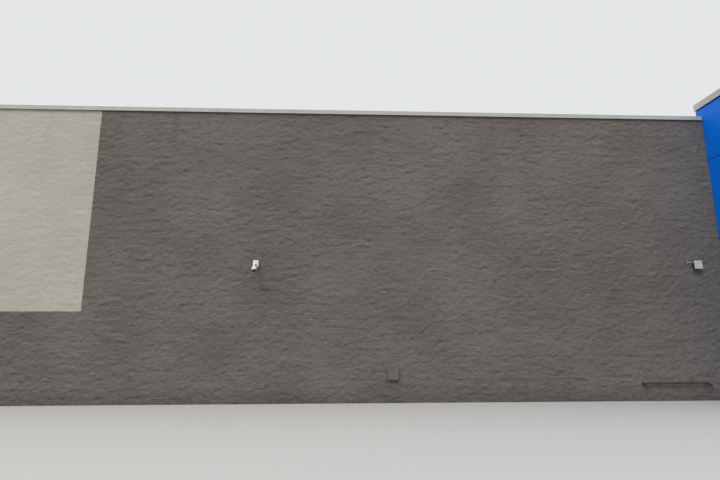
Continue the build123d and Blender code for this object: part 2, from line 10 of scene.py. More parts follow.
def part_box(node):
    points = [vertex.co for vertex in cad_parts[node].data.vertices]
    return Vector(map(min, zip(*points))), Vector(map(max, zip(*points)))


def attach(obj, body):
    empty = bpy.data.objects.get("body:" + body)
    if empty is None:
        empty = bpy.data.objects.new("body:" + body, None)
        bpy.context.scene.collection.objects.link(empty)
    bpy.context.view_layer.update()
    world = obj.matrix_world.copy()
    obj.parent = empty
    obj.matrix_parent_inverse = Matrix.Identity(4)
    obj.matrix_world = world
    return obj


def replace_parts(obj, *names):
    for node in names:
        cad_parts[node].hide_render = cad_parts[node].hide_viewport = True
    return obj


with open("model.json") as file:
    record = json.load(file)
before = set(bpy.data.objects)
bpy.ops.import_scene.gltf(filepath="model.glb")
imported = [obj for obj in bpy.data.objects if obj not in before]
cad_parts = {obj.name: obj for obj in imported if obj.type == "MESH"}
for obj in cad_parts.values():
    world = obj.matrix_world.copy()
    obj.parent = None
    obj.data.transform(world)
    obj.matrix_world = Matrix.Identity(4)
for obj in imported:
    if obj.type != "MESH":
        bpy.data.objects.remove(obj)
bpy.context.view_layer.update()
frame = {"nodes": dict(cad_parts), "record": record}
cad = frame["nodes"]

# Single-storey supermarket in painted split-face block, with a folded coping and a blue entrance portal.
# Metres, X along the front to the right, Y into the building, Z up.

# Block bond, shared by the relief of the walls and by their joints
course = 0.2032
block = 0.4064
joint = 0.010

# Lines of the building that the materials and the camera use
front_low, front_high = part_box("front_wall_grey")
front_line = front_low[1]
wall_top = front_high[2]
left_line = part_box("front_wall_light")[0][0]
portal_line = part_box("portal_wall_left")[0][0]
bond_start = left_line + front_line


# Helpers

def colour(code):
    """The linear colour of an sRGB hex value."""
    parts = [int(code[n:n + 2], 16) / 255 for n in (1, 3, 5)]
    return tuple(p / 12.92 if p <= 0.04045 else ((p + 0.055) / 1.055) ** 2.4 for p in parts) + (1.0,)


def add(tree, kind, inputs=None, out=0, family="ShaderNode", **settings):
    """Add a node with its settings, give each named input a value or a link, and return an output."""
    node = tree.nodes.new(family + kind)
    for name, value in settings.items():
        setattr(node, name, value)
    for name, value in (inputs or {}).items():
        if isinstance(value, bpy.types.NodeSocket):
            tree.links.new(value, node.inputs[name])
        else:
            node.inputs[name].default_value = value
    return node.outputs[out] if node.outputs else None


def start(name):
    """A new material with an empty node tree, and the place of each point in metres."""
    made = bpy.data.materials.new(name)
    made.use_nodes = True
    tree = made.node_tree
    tree.nodes.clear()
    return made, tree, add(tree, "TexCoord", out="Object")


# Materials
# The scale of a noise is one over the size of its patches in metres: 0.55 gives 1.8 m, 7 gives 140 mm.

def masonry_paint(name, paint, pale, darker_tone, patch, painted_ledge_light, painted_underside_shade, stone):
    """Acrylic masonry paint rolled over split-face concrete block.

    Dull and even, with the broken stone's lumps and pores beneath it and the joints beneath the same
    coat. Faces of the lumps that tilt up are painted paler and faces that tilt down darker: painted
    light and shade as from overhead, so the eye reads the stone's lumps. Rain has left faint runs
    below the coping, and splashed dirt near the ground.
    """
    made, tree, place = start(name)
    parts = add(tree, "SeparateXYZ", {0: place}).node.outputs
    total = add(tree, "Math", {0: parts[0], 1: parts[1]}, operation="ADD")
    along = add(tree, "Math", {0: total, 1: bond_start}, operation="SUBTRACT")
    face = add(tree, "CombineXYZ", {0: along, 1: parts[2], 2: 0.0})
    bond = add(tree, "TexBrick", {
        "Vector": face, "Scale": 1.0, "Mortar Size": joint / 2, "Mortar Smooth": 0.4, "Bias": 0.0,
        "Brick Width": block, "Row Height": course, "Color1": (0.0, 0.0, 0.0, 1.0),
        "Color2": (1.0, 1.0, 1.0, 1.0), "Mortar": (0.5, 0.5, 0.5, 1.0)},
        offset=0.5, offset_frequency=2).node.outputs
    weather = add(tree, "TexNoise", {"Vector": place, "Scale": 0.55, "Detail": 3.0, "Roughness": 0.55})
    low_face = add(tree, "VectorMath", {0: face, 1: (1.0, 1.7, 1.0)}, operation="MULTIPLY")
    mottle = add(tree, "TexNoise", {"Vector": low_face, "Scale": 7.0, "Detail": 3.0, "Roughness": 0.6})
    long_face = add(tree, "VectorMath", {0: face, 1: (3.2, 0.22, 1.0)}, operation="MULTIPLY")
    runs = add(tree, "TexNoise", {"Vector": long_face, "Scale": 1.0, "Detail": 3.0, "Roughness": 0.6})
    tone = add(tree, "Mix", {
        0: add(tree, "MapRange", {"Value": weather, "From Min": 0.32, "From Max": 0.68}),
        6: colour(paint), 7: colour(pale)}, out=2, data_type="RGBA")
    tone = add(tree, "Mix", {
        0: add(tree, "MapRange", {"Value": mottle, "From Min": 0.35, "From Max": 0.7, "To Max": 0.4}),
        6: tone, 7: colour(patch)}, out=2, data_type="RGBA")
    tone = add(tree, "Mix", {
        0: add(tree, "MapRange", {"Value": bond["Color"], "To Max": 0.12}),
        6: tone, 7: colour(pale)}, out=2, data_type="RGBA")
    # Painted light and shade: faces that tilt up are mixed toward the pale tone, and faces that tilt down
    # toward the darker tone, as if lit from overhead
    slope = add(tree, "SeparateXYZ", {0: add(tree, "NewGeometry", out="Normal")}, out=2)
    tone = add(tree, "Mix", {
        0: add(tree, "MapRange", {"Value": slope, "From Min": 0.02, "From Max": 0.35, "To Max": painted_ledge_light}),
        6: tone, 7: colour(pale)}, out=2, data_type="RGBA")
    tone = add(tree, "Mix", {
        0: add(tree, "MapRange", {"Value": slope, "From Min": -0.02, "From Max": -0.35, "To Max": painted_underside_shade}),
        6: tone, 7: colour(darker_tone)}, out=2, data_type="RGBA")
    below = add(tree, "MapRange", {
        "Value": parts[2], "From Min": wall_top - 1.8, "From Max": wall_top, "To Max": 0.35})
    streaks = add(tree, "MapRange", {"Value": runs, "From Min": 0.55, "From Max": 0.75})
    tone = add(tree, "Mix", {
        0: add(tree, "Math", {0: streaks, 1: below}, operation="MULTIPLY"),
        6: tone, 7: colour(darker_tone)}, out=2, data_type="RGBA")
    splash = add(tree, "MapRange", {"Value": parts[2], "From Min": 0.45, "From Max": 0.0, "To Max": 0.7})
    patchy = add(tree, "MapRange", {"Value": mottle, "From Min": 0.25, "From Max": 0.7, "To Min": 0.2})
    tone = add(tree, "Mix", {
        0: add(tree, "Math", {0: splash, 1: patchy}, operation="MULTIPLY"),
        6: tone, 7: colour(darker_tone)}, out=2, data_type="RGBA")
    chips = add(tree, "TexNoise", {"Vector": low_face, "Scale": 1 / 0.045, "Detail": 3.0, "Roughness": 0.62})
    grit = add(tree, "TexNoise", {"Vector": place, "Scale": 1 / 0.006, "Detail": 3.0, "Roughness": 0.6})
    normal = add(tree, "Bump", {"Height": chips, "Distance": stone})
    normal = add(tree, "Bump", {"Height": grit, "Distance": 0.0025, "Normal": normal})
    recess = add(tree, "Math", {0: 1.0, 1: bond["Fac"]}, operation="SUBTRACT")
    normal = add(tree, "Bump", {"Height": recess, "Distance": stone * 0.075, "Normal": normal})
    shader = add(tree, "BsdfPrincipled", {
        "Base Color": tone, "Roughness": 0.88, "Specular IOR Level": 0.25, "Normal": normal})
    add(tree, "OutputMaterial", {"Surface": shader})
    return made


def coil_coated(name, paint, pale, darker_tone, roughness, gloss=0.5):
    """Polyester coil-coated sheet: smooth and satin, faintly wavy, with dusty runs down its faces."""
    made, tree, place = start(name)
    dust = add(tree, "TexNoise", {"Vector": place, "Scale": 1.3, "Detail": 3.0, "Roughness": 0.6})
    drawn = add(tree, "VectorMath", {0: place, 1: (7.0, 7.0, 0.5)}, operation="MULTIPLY")
    runs = add(tree, "TexNoise", {"Vector": drawn, "Scale": 1.0, "Detail": 3.0, "Roughness": 0.65})
    waves = add(tree, "TexNoise", {"Vector": place, "Scale": 2.2, "Detail": 1.0, "Roughness": 0.4})
    tone = add(tree, "Mix", {
        0: add(tree, "MapRange", {"Value": dust, "From Min": 0.3, "From Max": 0.7}),
        6: colour(paint), 7: colour(pale)}, out=2, data_type="RGBA")
    tone = add(tree, "Mix", {
        0: add(tree, "MapRange", {"Value": runs, "From Min": 0.5, "From Max": 0.8, "To Max": 0.3}),
        6: tone, 7: colour(darker_tone)}, out=2, data_type="RGBA")
    shine = add(tree, "MapRange", {
        "Value": dust, "From Min": 0.3, "From Max": 0.7,
        "To Min": roughness - 0.05, "To Max": roughness + 0.08})
    shader = add(tree, "BsdfPrincipled", {
        "Base Color": tone, "Roughness": shine, "Specular IOR Level": gloss,
        "Normal": add(tree, "Bump", {"Height": waves, "Distance": 0.0012})})
    add(tree, "OutputMaterial", {"Surface": shader})
    return made


def trowelled_concrete(name, paint, pale, darker_tone):
    """Power-trowelled concrete: pale and dull, clouded where the trowel polished it, finely pitted."""
    made, tree, place = start(name)
    cloud = add(tree, "TexNoise", {"Vector": place, "Scale": 1.1, "Detail": 4.0, "Roughness": 0.6})
    pits = add(tree, "TexNoise", {"Vector": place, "Scale": 1 / 0.008, "Detail": 3.0, "Roughness": 0.7})
    tone = add(tree, "Mix", {
        0: add(tree, "MapRange", {"Value": cloud, "From Min": 0.3, "From Max": 0.7}),
        6: colour(paint), 7: colour(pale)}, out=2, data_type="RGBA")
    tone = add(tree, "Mix", {
        0: add(tree, "MapRange", {"Value": pits, "From Min": 0.58, "From Max": 0.75, "To Max": 0.5}),
        6: tone, 7: colour(darker_tone)}, out=2, data_type="RGBA")
    shine = add(tree, "MapRange", {
        "Value": cloud, "From Min": 0.3, "From Max": 0.7, "To Min": 0.55, "To Max": 0.8})
    shader = add(tree, "BsdfPrincipled", {
        "Base Color": tone, "Roughness": shine,
        "Normal": add(tree, "Bump", {"Height": pits, "Distance": 0.0008})})
    add(tree, "OutputMaterial", {"Surface": shader})
    return made


def roofing_membrane(name):
    """Heat-welded roofing membrane, weathered.

    Pale grey sheet in long lapped strips, each seam a dark line, with street dust over it all and the
    dried rims of old puddles, so the eye reads a flat roof that rain stands on.
    """
    made, tree, place = start(name)
    sheet_width = 1.9
    lap = 0.04
    sideways = add(tree, "SeparateXYZ", {0: place})
    across = add(tree, "Math", {0: sideways, 1: sheet_width / 2}, operation="PINGPONG")
    seam = add(tree, "MapRange", {"Value": across, "From Max": lap, "To Min": 1.0, "To Max": 0.0})
    strips = add(tree, "Math", {
        0: add(tree, "Math", {0: sideways, 1: sheet_width}, operation="DIVIDE")}, operation="FLOOR")
    strip_tone = add(tree, "TexWhiteNoise", {"W": strips}, noise_dimensions="1D")
    ponding = add(tree, "TexNoise", {"Vector": place, "Scale": 0.22, "Detail": 4.0, "Roughness": 0.5})
    rim = add(tree, "MapRange", {
        "Value": add(tree, "Math", {
            0: add(tree, "Math", {0: ponding, 1: 0.56}, operation="SUBTRACT")}, operation="ABSOLUTE"),
        "From Max": 0.012, "To Min": 0.3, "To Max": 0.0})
    dust = add(tree, "TexNoise", {"Vector": place, "Scale": 1.6, "Detail": 6.0, "Roughness": 0.7})
    tone = add(tree, "Mix", {
        0: strip_tone, 6: colour("#a3a39d"), 7: colour("#9c9c96")}, out=2, data_type="RGBA")
    tone = add(tree, "Mix", {
        0: add(tree, "MapRange", {"Value": ponding, "From Min": 0.54, "From Max": 0.60, "To Max": 0.3}),
        6: tone, 7: colour("#8c8a83")}, out=2, data_type="RGBA")
    tone = add(tree, "Mix", {0: rim, 6: tone, 7: colour("#7f7c74")}, out=2, data_type="RGBA")
    tone = add(tree, "Mix", {
        0: add(tree, "MapRange", {"Value": dust, "From Min": 0.4, "From Max": 0.7, "To Max": 0.4}),
        6: tone, 7: colour("#8f8d86")}, out=2, data_type="RGBA")
    tone = add(tree, "Mix", {
        0: add(tree, "Math", {0: seam, 1: 0.6}, operation="MULTIPLY"),
        6: tone, 7: colour("#6f6e69")}, out=2, data_type="RGBA")
    shader = add(tree, "BsdfPrincipled", {
        "Base Color": tone, "Roughness": 0.7,
        "Normal": add(tree, "Bump", {"Height": seam, "Distance": 0.003})})
    add(tree, "OutputMaterial", {"Surface": shader})
    return made


def primed_steel(name):
    """Shop-primed mill steel: flat grey oxide primer with scuffs and a few rusty specks."""
    made, tree, place = start(name)
    scuff = add(tree, "TexNoise", {"Vector": place, "Scale": 9.0, "Detail": 4.0, "Roughness": 0.65})
    rust = add(tree, "TexNoise", {"Vector": place, "Scale": 26.0, "Detail": 4.0, "Roughness": 0.7})
    tone = add(tree, "Mix", {
        0: add(tree, "MapRange", {"Value": scuff, "From Min": 0.35, "From Max": 0.7}),
        6: colour("#8b8d8c"), 7: colour("#9a9c9a")}, out=2, data_type="RGBA")
    tone = add(tree, "Mix", {
        0: add(tree, "MapRange", {"Value": rust, "From Min": 0.66, "From Max": 0.74, "To Max": 0.7}),
        6: tone, 7: colour("#6e4a35")}, out=2, data_type="RGBA")
    shader = add(tree, "BsdfPrincipled", {
        "Base Color": tone, "Roughness": 0.62,
        "Normal": add(tree, "Bump", {"Height": scuff, "Distance": 0.0005})})
    add(tree, "OutputMaterial", {"Surface": shader})
    return made


def anodised_aluminium(name):
    """Clear anodised extrusion: silvery and satin, with drawn lines along its length.

    The real lines are under a millimetre apart. They are drawn 4 mm apart, so that they show.
    """
    made, tree, place = start(name)
    drawn = add(tree, "VectorMath", {0: place, 1: (260.0, 260.0, 3.0)}, operation="MULTIPLY")
    lines = add(tree, "TexNoise", {"Vector": drawn, "Scale": 1.0, "Detail": 2.0, "Roughness": 0.5})
    film = add(tree, "TexNoise", {"Vector": place, "Scale": 3.0, "Detail": 2.0, "Roughness": 0.5})
    tone = add(tree, "Mix", {
        0: add(tree, "MapRange", {"Value": film, "From Min": 0.3, "From Max": 0.7}),
        6: colour("#b4b7ba"), 7: colour("#c4c6c8")}, out=2, data_type="RGBA")
    shine = add(tree, "MapRange", {
        "Value": lines, "From Min": 0.3, "From Max": 0.7, "To Min": 0.30, "To Max": 0.42})
    shader = add(tree, "BsdfPrincipled", {
        "Base Color": tone, "Metallic": 1.0, "Roughness": shine,
        "Normal": add(tree, "Bump", {"Height": lines, "Distance": 0.0001})})
    add(tree, "OutputMaterial", {"Surface": shader})
    return made


def float_glass(name):
    """Clear double glazing: faintly green, with a thin film of dust that dulls it in places."""
    made, tree, place = start(name)
    film = add(tree, "TexNoise", {"Vector": place, "Scale": 1.4, "Detail": 3.0, "Roughness": 0.6})
    shine = add(tree, "MapRange", {"Value": film, "From Min": 0.4, "From Max": 0.8, "To Max": 0.06})
    shader = add(tree, "BsdfPrincipled", {
        "Base Color": colour("#dfeae6"), "Roughness": shine, "IOR": 1.52, "Transmission Weight": 0.96})
    add(tree, "OutputMaterial", {"Surface": shader})
    return made


def galvanised_sheet(name):
    """Hot-dip galvanised sheet: dull zinc with pale and dark spangle and a little white bloom."""
    made, tree, place = start(name)
    spangle = add(tree, "TexVoronoi", {"Vector": place, "Scale": 1 / 0.012}, out="Color")
    bloom = add(tree, "TexNoise", {"Vector": place, "Scale": 5.0, "Detail": 4.0, "Roughness": 0.65})
    shade = add(tree, "SeparateColor", {0: spangle})
    tone = add(tree, "Mix", {0: shade, 6: colour("#959a9c"), 7: colour("#aeb3b4")}, out=2, data_type="RGBA")
    tone = add(tree, "Mix", {
        0: add(tree, "MapRange", {"Value": bloom, "From Min": 0.5, "From Max": 0.75, "To Max": 0.5}),
        6: tone, 7: colour("#c3c5c2")}, out=2, data_type="RGBA")
    shine = add(tree, "MapRange", {"Value": shade, "To Min": 0.42, "To Max": 0.58})
    shader = add(tree, "BsdfPrincipled", {"Base Color": tone, "Metallic": 0.75, "Roughness": shine})
    add(tree, "OutputMaterial", {"Surface": shader})
    return made


def moulded_housing(name, paint, aged, roughness):
    """Injection-moulded ASA housing, weathered: soft sheen, faint yellowing and street dust."""
    made, tree, place = start(name)
    dust = add(tree, "TexNoise", {"Vector": place, "Scale": 14.0, "Detail": 4.0, "Roughness": 0.6})
    grain = add(tree, "TexNoise", {"Vector": place, "Scale": 1 / 0.0012, "Detail": 2.0, "Roughness": 0.5})
    tone = add(tree, "Mix", {
        0: add(tree, "MapRange", {"Value": dust, "From Min": 0.38, "From Max": 0.72}),
        6: colour(paint), 7: colour(aged)}, out=2, data_type="RGBA")
    shader = add(tree, "BsdfPrincipled", {
        "Base Color": tone, "Roughness": roughness,
        "Normal": add(tree, "Bump", {"Height": grain, "Distance": 0.0002})})
    add(tree, "OutputMaterial", {"Surface": shader})
    return made


def smoked_dome(name):
    """Smoked polycarbonate dome: near black and glossy, with a thin veil of dust."""
    made, tree, place = start(name)
    veil = add(tree, "TexNoise", {"Vector": place, "Scale": 40.0, "Detail": 3.0, "Roughness": 0.6})
    tone = add(tree, "Mix", {
        0: add(tree, "MapRange", {"Value": veil, "From Min": 0.4, "From Max": 0.8}),
        6: colour("#060607"), 7: colour("#131415")}, out=2, data_type="RGBA")
    shine = add(tree, "MapRange", {
        "Value": veil, "From Min": 0.3, "From Max": 0.8, "To Min": 0.12, "To Max": 0.3})
    shader = add(tree, "BsdfPrincipled", {"Base Color": tone, "Roughness": shine})
    add(tree, "OutputMaterial", {"Surface": shader})
    return made


def prismatic_diffuser(name):
    """Pressed polycarbonate diffuser, greyed by weather, with fine upright prisms."""
    made, tree, place = start(name)
    sideways = add(tree, "SeparateXYZ", {0: place})
    prisms = add(tree, "Math", {0: sideways, 1: 0.003}, operation="PINGPONG")
    ribs = add(tree, "MapRange", {"Value": prisms, "From Max": 0.003})
    veil = add(tree, "TexNoise", {"Vector": place, "Scale": 18.0, "Detail": 3.0, "Roughness": 0.6})
    tone = add(tree, "Mix", {
        0: add(tree, "MapRange", {"Value": veil, "From Min": 0.35, "From Max": 0.7}),
        6: colour("#cbc9ba"), 7: colour("#b8b6a8")}, out=2, data_type="RGBA")
    shader = add(tree, "BsdfPrincipled", {
        "Base Color": tone, "Roughness": 0.35, "Subsurface Weight": 0.1,
        "Normal": add(tree, "Bump", {"Height": ribs, "Distance": 0.001})})
    add(tree, "OutputMaterial", {"Surface": shader})
    return made


def brushed_over_paint(name, paint, worn):
    """Steel painted over by brush: a dull sheen, soft brush lines, and patches that wore to another tone.

    The bristle marks are drawn 6 mm apart, coarser than real ones, so that they show.
    """
    made, tree, place = start(name)
    strokes = add(tree, "VectorMath", {0: place, 1: (20.0, 20.0, 160.0)}, operation="MULTIPLY")
    lines = add(tree, "TexNoise", {"Vector": strokes, "Scale": 1.0, "Detail": 3.0, "Roughness": 0.6})
    dust = add(tree, "TexNoise", {"Vector": place, "Scale": 8.0, "Detail": 3.0, "Roughness": 0.6})
    tone = add(tree, "Mix", {
        0: add(tree, "MapRange", {"Value": dust, "From Min": 0.35, "From Max": 0.7}),
        6: colour(paint), 7: colour(worn)}, out=2, data_type="RGBA")
    shader = add(tree, "BsdfPrincipled", {
        "Base Color": tone, "Roughness": 0.55,
        "Normal": add(tree, "Bump", {"Height": lines, "Distance": 0.0004})})
    add(tree, "OutputMaterial", {"Surface": shader})
    return made


finishes = {
    # In the masonry paints the ledge amount is painted light on faces that tilt up, and the underside amount
    # painted shade on faces that tilt down; the darker tone is both that painted shade and the dirt
    "painted_block_grey": masonry_paint(
        "grey_masonry_paint", paint="#68635c", pale="#78726b", darker_tone="#464340", patch="#5e5954",
        painted_ledge_light=0.8, painted_underside_shade=0.5, stone=0.036),
    "painted_block_light": masonry_paint(
        "off_white_masonry_paint", paint="#aaa69b", pale="#b4b0a5", darker_tone="#8b867b", patch="#a39f94",
        painted_ledge_light=0.0, painted_underside_shade=0.3, stone=0.010),
    "portal_blue": coil_coated(
        "blue_coated_panel", paint="#0068d4", pale="#006edb", darker_tone="#105bb1", roughness=0.42, gloss=0.15),
    "coping_light": coil_coated(
        "off_white_coated_sheet", paint="#a5a7a0", pale="#adafa7", darker_tone="#85857c", roughness=0.42),
    "concrete": trowelled_concrete("trowelled_concrete", paint="#9b9a94", pale="#a6a49d", darker_tone="#84827b"),
    "roof_membrane": roofing_membrane("welded_roofing_membrane"),
    "soffit_white": coil_coated(
        "white_coated_soffit", paint="#cfd0cc", pale="#d6d7d3", darker_tone="#b3b2aa", roughness=0.45),
    "primed_steel": primed_steel("shop_primed_steel"),
    "anodised_aluminium": anodised_aluminium("clear_anodised_aluminium"),
    "glazing": float_glass("clear_float_glass"),
    "galvanised_steel": galvanised_sheet("hot_dip_galvanised_sheet"),
    "white_plastic": moulded_housing("weathered_white_asa", paint="#dbd9d4", aged="#c8c4bd", roughness=0.48),
    "grey_cover": moulded_housing("weathered_grey_cover", paint="#c4c1b4", aged="#b8b5a8", roughness=0.52),
    "dark_window": smoked_dome("smoked_polycarbonate"),
    "charcoal_casting": brushed_over_paint("charcoal_powder_coat", paint="#262625", worn="#31312f"),
    "light_diffuser": prismatic_diffuser("greyed_polycarbonate"),
    "conduit_metal": brushed_over_paint("light_grey_painted_conduit", paint="#a9aaa5", worn="#9b9b94"),
    "grey_painted_metal": brushed_over_paint("grey_painted_steel", paint="#645f59", worn="#5a554f"),
    "dark_painted_steel": brushed_over_paint("dark_grey_painted_steel", paint="#3c3935", worn="#45413c"),
}

# Each node of the frame takes the finish of its slot
node_slots = {row["node"]: row["material_slot"] for row in frame["record"]["subparts"]}
for node_name, slot_name in node_slots.items():
    cad[node_name].data.materials.clear()
    cad[node_name].data.materials.append(finishes[slot_name])


# Block walls

def lattice(i, j, seed):
    """A fixed random number from -1 to 1 for each whole i and j."""
    n = (i.astype(np.int64) * 374761393 + j.astype(np.int64) * 668265263 + seed * 974634777) & 0xFFFFFFFF
    n = ((n ^ (n >> 13)) * 1274126177) & 0xFFFFFFFF
    n = ((n ^ (n >> 16)) * 2246822519) & 0xFFFFFFFF
    return (n ^ (n >> 15)) / 0x7FFFFFFF - 1.0


def lumps(u, v, wide, tall, seed):
    """Smooth random heights from -1 to 1, with lumps of that width and height in metres."""
    a, b = u / wide, v / tall
    i, j = np.floor(a), np.floor(b)
    s, t = a - i, b - j
    s, t = s * s * (3 - 2 * s), t * t * (3 - 2 * t)
    low = lattice(i, j, seed) * (1 - s) + lattice(i + 1, j, seed) * s
    high = lattice(i, j + 1, seed) * (1 - s) + lattice(i + 1, j + 1, seed) * s
    return low * (1 - t) + high * t


# Relief of a split face in metres: its mean and greatest depth behind the wall's plane, how far whole
# blocks stand out, turn and lean, and the height, width and rise of its lumps
relief_mean = 0.014
relief_deepest = 0.030
block_stand = 0.0032
block_turn = 0.005
block_lean = 0.008
lump_sizes = ((0.0050, 0.074, 0.060), (0.0046, 0.13, 0.105), (0.0068, 0.052, 0.038))
joint_depth = 0.0012

# Share of that relief that thick paint leaves showing
thick_coat = 0.55

# Two places nearer than this are the same
hair = 0.0005


def relief(u, z, share):
    """How far each point of a split face lies behind the wall's outer plane, in metres."""
    row = np.floor(z / course)
    shift = np.where(row % 2 == 0, block / 2, 0.0)
    column = np.floor((u + shift) / block)
    across = (u + shift) / block - column - 0.5
    up = z / course - row - 0.5
    swing = block_stand * lattice(column, row, 11)
    swing += across * block_turn * lattice(column, row, 12) + up * block_lean * lattice(column, row, 13)
    for n, (height, wide, tall) in enumerate(lump_sizes):
        swing += height * lumps(u, z, wide, tall, 21 + n)
    edge = np.minimum((0.5 - np.abs(across)) * block, (0.5 - np.abs(up)) * course)
    swing += joint_depth * (edge < joint * 0.6)
    return np.clip(relief_mean + share * swing, 0.0, relief_deepest)


def bond_lines(low, high, pitch, parts):
    """Lines across a face, that many to a course or half block, and the face's two ends."""
    step = pitch / parts
    marks = np.arange(math.floor(low / step), math.ceil(high / step) + 1) * step
    inside = marks[(marks > low + step / 4) & (marks < high - step / 4)]
    return np.concatenate([[low], inside, [high]])


corner_fade = 0.04
fine_rows, fine_columns = 7, 6
coarse_rows, coarse_columns = 4, 3


def split_face_wall(name, low, high, outer, fine, share, holes=()):
    """A box of masonry whose outer faces have a share of the broken relief, and whose others are plain.

    The four upright faces are taken in turn round the box. Lines of the two kinds of face meet
    point for point, and the relief depends only on the place, so neighbouring pieces match.
    """
    x0, y0, z0 = low
    x1, y1, z1 = high
    corners = [(x0, y0), (x1, y0), (x1, y1), (x0, y1)]
    sides = ["front", "right", "back", "left"]
    hole_levels = [z for hole in holes for z in hole[2:]]
    rows = with_marks(bond_lines(z0, z1, course, fine_rows if fine else coarse_rows), hole_levels)
    grids = {}
    for n, side in enumerate(sides):
        if side in outer:
            ends = [sides[(n - 1) % 4] in outer, sides[(n + 1) % 4] in outer]
            edges = [x for hole in holes for x in hole[:2]] if side == "back" else []
            grids[side] = relief_grid(corners[n], corners[(n + 1) % 4], rows, fine, share, ends, edges)
    loops = []
    for n, side in enumerate(sides):
        a, b = corners[n], corners[(n + 1) % 4]
        before, after = grids.get(sides[(n - 1) % 4]), grids.get(sides[(n + 1) % 4])
        if side in grids:
            continue
        if holes and side == "front":
            loops += pierced_face(a, b, z0, z1, holes)
            continue
        right_edge = list(after[:, 0]) if after is not None else [(*b, z0), (*b, z1)]
        left_edge = list(before[::-1, -1]) if before is not None else [(*a, z1), (*a, z0)]
        loops.append(right_edge + left_edge)
    for level, z in ((-1, z1), (0, z0)):
        rim = []
        for n, side in enumerate(sides):
            rim += list(grids[side][level][:-1]) if side in grids else [(*corners[n], z)]
        loops.append(rim if level else rim[::-1])
    for hole in holes:
        loops += reveals(grids["back"], hole, y0)
    return joined_mesh(name, grids.values(), loops, holes)


def with_marks(lines, marks, near=0.004):
    """Lines across a face with some more put in, in place of any that lie very near to one."""
    for mark in marks:
        lines = np.append(lines[np.abs(lines - mark) > near], mark)
    return np.unique(lines)


def relief_grid(begin, end, rows, fine, share, turned, edges):
    """Points over one outer face: rows from below, each from the begin corner to the end corner.

    At an end that turns a corner of the building the relief dies away, so that both faces meet.
    """
    begin, end = np.array(begin), np.array(end)
    first, last = begin.sum() - bond_start, end.sum() - bond_start
    columns = fine_columns if fine else coarse_columns
    lines = bond_lines(min(first, last), max(first, last), block / 2, columns)
    lines = with_marks(lines, [edge + begin[1] - bond_start for edge in edges])
    if last < first:
        lines = lines[::-1]
    run = np.abs(lines - first)
    along = (end - begin) / abs(last - first)
    u, z = np.meshgrid(lines, rows)
    fade = np.ones_like(run)
    if turned[0]:
        fade = np.minimum(fade, run / corner_fade)
    if turned[1]:
        fade = np.minimum(fade, (run[-1] - run) / corner_fade)
    inward = relief(u, z, share) * fade
    x = begin[0] + along[0] * run - along[1] * inward
    y = begin[1] + along[1] * run + along[0] * inward
    return np.dstack([x, y, z])


def pierced_face(a, b, z0, z1, holes):
    """The inner face of a wall with openings: bands below and above them, and the parts between."""
    y = a[1]
    bottom, top = holes[0][2:]
    edges = [a[0]] + sorted(x for hole in holes for x in hole[:2]) + [b[0]]
    parts = [[(x, y, z0) for x in (a[0], b[0])] + [(x, y, bottom) for x in edges[::-1]],
             [(x, y, top) for x in edges] + [(x, y, z1) for x in (b[0], a[0])]]
    for left, right in zip(edges[::2], edges[1::2]):
        parts.append([(left, y, bottom), (right, y, bottom), (right, y, top), (left, y, top)])
    return parts


def reveals(grid, hole, inner_y):
    """The four sides of an opening, from the relief face to the wall's inner face."""
    left, right, bottom, top = hole
    places = grid.reshape(-1, 3)
    within_x = (places[:, 0] > left - hair) & (places[:, 0] < right + hair)
    within_z = (places[:, 2] > bottom - hair) & (places[:, 2] < top + hair)
    sides = []
    for z, over in ((bottom, False), (top, True)):
        edge = sorted(map(tuple, places[within_x & (np.abs(places[:, 2] - z) < hair)]))
        side = [(left, inner_y, z), (right, inner_y, z)] + edge[::-1]
        sides.append(side[::-1] if over else side)
    for x, first in ((left, True), (right, False)):
        edge = sorted(map(tuple, places[within_z & (np.abs(places[:, 0] - x) < hair)]), key=lambda p: p[2])
        side = [(x, inner_y, bottom)] + edge + [(x, inner_y, top)]
        sides.append(side[::-1] if first else side)
    return sides


def joined_mesh(name, grids, loops, holes):
    """One closed mesh from relief grids and plain loops, with the points on their seams joined."""
    points, faces = [], []
    for grid in grids:
        down, across = grid.shape[:2]
        number = np.arange(down * across).reshape(down, across) + len(points)
        cells = np.stack([number[:-1, :-1], number[:-1, 1:], number[1:, 1:], number[1:, :-1]], axis=-1)
        middle = (grid[:-1, :-1] + grid[1:, 1:]) / 2
        keep = np.ones(cells.shape[:2], bool)
        for left, right, bottom, top in holes:
            keep &= ~((middle[..., 0] > left) & (middle[..., 0] < right)
                      & (middle[..., 2] > bottom) & (middle[..., 2] < top))
        points += grid.reshape(-1, 3).tolist()
        faces += cells[keep].tolist()
    broken = len(faces)
    for loop in loops:
        faces.append(list(range(len(points), len(points) + len(loop))))
        points += [tuple(map(float, p)) for p in loop]
    mesh = bpy.data.meshes.new(name)
    mesh.from_pydata(points, [], faces)
    mesh.polygons.foreach_set("use_smooth", [n < broken for n in range(len(faces))])
    form = bmesh.new()
    form.from_mesh(mesh)
    bmesh.ops.remove_doubles(form, verts=form.verts, dist=1e-5)
    bmesh.ops.delete(form, geom=[v for v in form.verts if not v.link_faces], context="VERTS")
    form.to_mesh(mesh)
    form.free()
    mesh.set_sharp_from_angle(angle=math.radians(50))
    return mesh


def shown_piece(mesh, slot_name):
    """A piece made of a mesh, which rides with the building and has the finish of its slot."""
    mesh.materials.clear()
    mesh.materials.append(finishes[slot_name])
    made = bpy.data.objects.new(mesh.name, mesh)
    bpy.context.scene.collection.objects.link(made)
    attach(made, "root")
    return made


